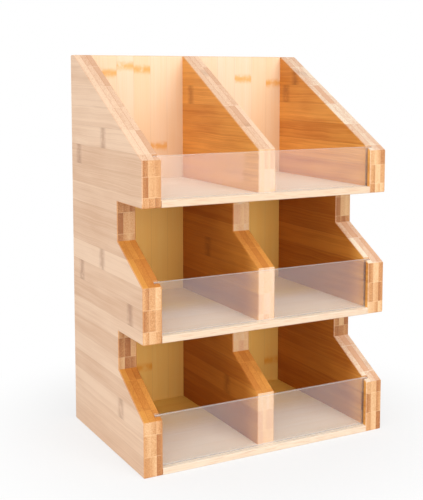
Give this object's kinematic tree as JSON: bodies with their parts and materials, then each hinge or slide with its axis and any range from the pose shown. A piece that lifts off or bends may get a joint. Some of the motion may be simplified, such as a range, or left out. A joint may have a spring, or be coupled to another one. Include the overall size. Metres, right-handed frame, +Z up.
{
  "type": "tabletop organiser with open bins",
  "caption": "Stepped bamboo countertop organiser with tiers of open bins in columns, a divider, shelves, a screwed back panel and clear front panes that lift out of grooves.",
  "frame": {"origin": "middle of the footprint, on the surface that the organiser stands on", "axes": "+X to the right seen from the front, +Y to the back, +Z up; the open bins face -Y"},
  "size_m": [0.282, 0.189, 0.406],
  "materials": {
    "side_bamboo": "satin lacquer on three-ply bamboo board",
    "divider_bamboo": "satin lacquer on three-ply bamboo board",
    "back_bamboo": "satin lacquer, upright strips",
    "shelf_bamboo": "satin lacquer, strips along the width",
    "clear_acrylic": "clear acrylic with flame-polished edges",
    "screw_steel": "zinc-plated steel"
  },
  "bodies": {
    "case": {"left_side_panel": "side_bamboo", "right_side_panel": "side_bamboo", "center_divider": "divider_bamboo", "back_panel": "back_bamboo", "bottom_shelf": "shelf_bamboo", "middle_shelf": "shelf_bamboo", "top_shelf": "shelf_bamboo", "back_screws": "screw_steel"},
    "bottom_pane": {"bottom_pane": "clear_acrylic"},
    "middle_pane": {"middle_pane": "clear_acrylic"},
    "top_pane": {"top_pane": "clear_acrylic"}
  },
  "joints": [
    {"name": "bottom_pane_lift", "type": "slide", "parent": "case", "child": "bottom_pane", "axis": [0, 0, 1], "range_m": [0, 0.055]},
    {"name": "middle_pane_lift", "type": "slide", "parent": "case", "child": "middle_pane", "axis": [0, 0, 1], "range_m": [0, 0.055]},
    {"name": "top_pane_lift", "type": "slide", "parent": "case", "child": "top_pane", "axis": [0, 0, 1], "range_m": [0, 0.045]}
  ]
}
